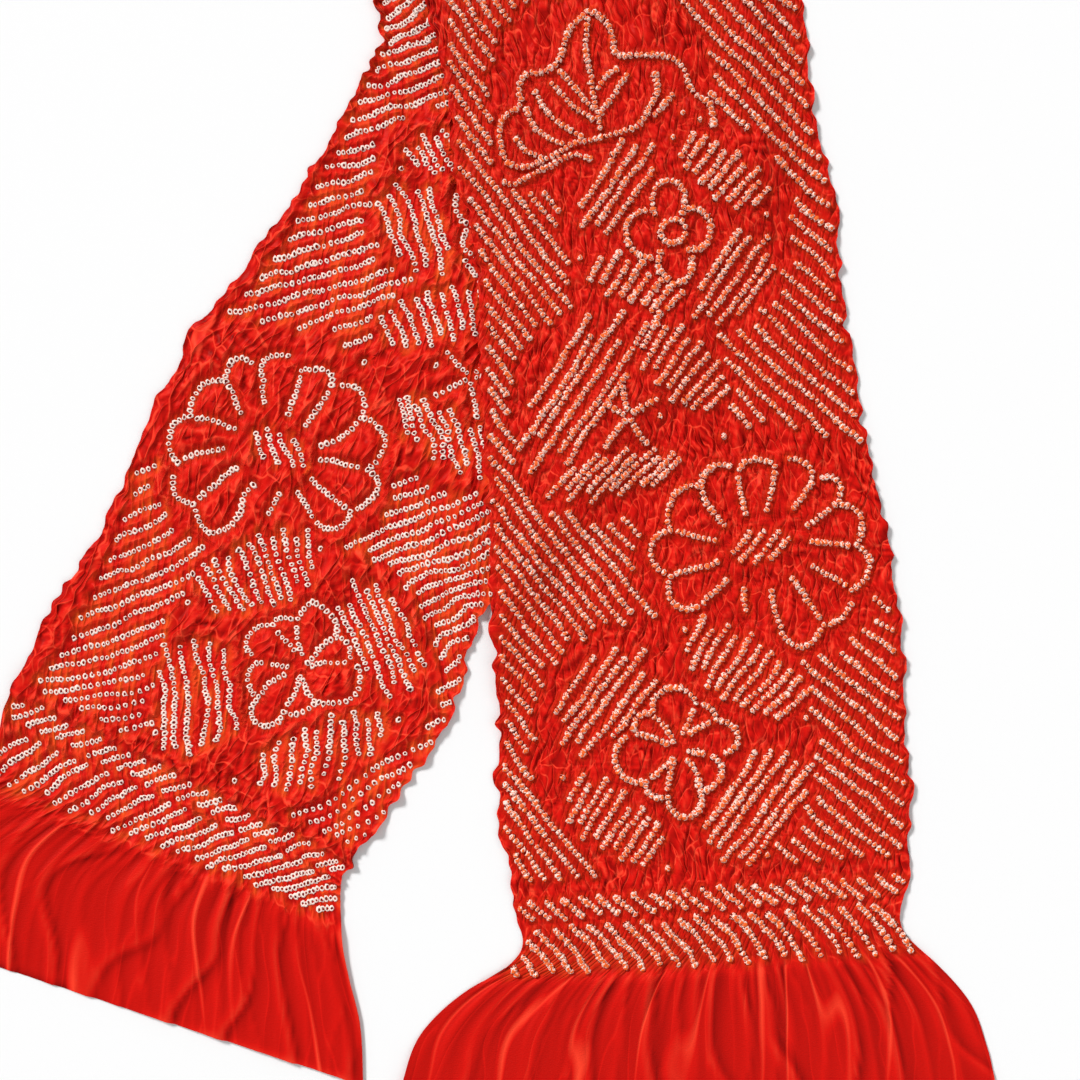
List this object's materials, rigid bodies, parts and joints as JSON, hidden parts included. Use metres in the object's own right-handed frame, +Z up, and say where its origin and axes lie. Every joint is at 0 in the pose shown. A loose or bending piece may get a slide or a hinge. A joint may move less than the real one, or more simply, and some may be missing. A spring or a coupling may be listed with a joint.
{
  "type": "shibori obiage",
  "caption": "Red silk obiage sash with knot-tied shibori flowers, stripes and a leaf, folded in half and laid flat, its halves splayed and its plain ends flaring.",
  "frame": {"origin": "centre of the laid cloth's outline in plan, at the surface it lies on", "axes": "+X to the right of the laid cloth seen from above, +Y from the plain ends towards the fold, +Z up from the surface"},
  "size_m": [0.5842, 0.7142, 0.0103],
  "materials": {
    "red_silk": "crinkled silk crepe, matte to soft sheen"
  },
  "bodies": {
    "root": {"obiage_cloth": "red_silk"}
  },
  "joints": []
}
